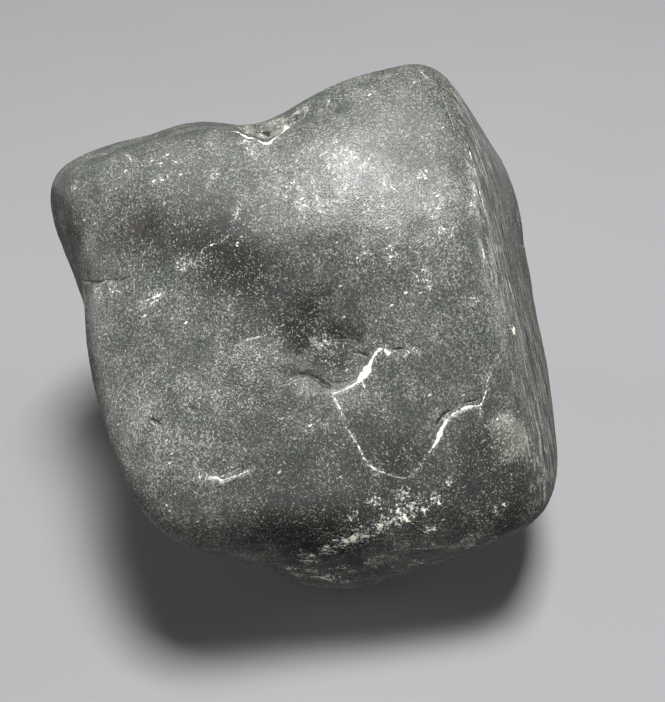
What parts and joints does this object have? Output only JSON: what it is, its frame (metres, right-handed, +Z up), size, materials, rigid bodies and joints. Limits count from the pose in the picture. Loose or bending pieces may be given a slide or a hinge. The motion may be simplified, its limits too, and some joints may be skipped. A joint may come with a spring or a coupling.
{
  "type": "dinosaur gastrolith",
  "caption": "Worn stomach stone of a dinosaur: a dark, softly faceted, fist-sized stone that rests on a small flat spot.",
  "frame": {"origin": "middle of the stone's box, at the level of the flat spot it rests on", "axes": "+Z up, -Y towards the side with the long pale crack, +X to the right of that side"},
  "size_m": [0.0828, 0.0804, 0.0769],
  "materials": {
    "worn_stone": "satin, worn smooth"
  },
  "bodies": {
    "root": {"gastrolith": "worn_stone"}
  },
  "joints": []
}
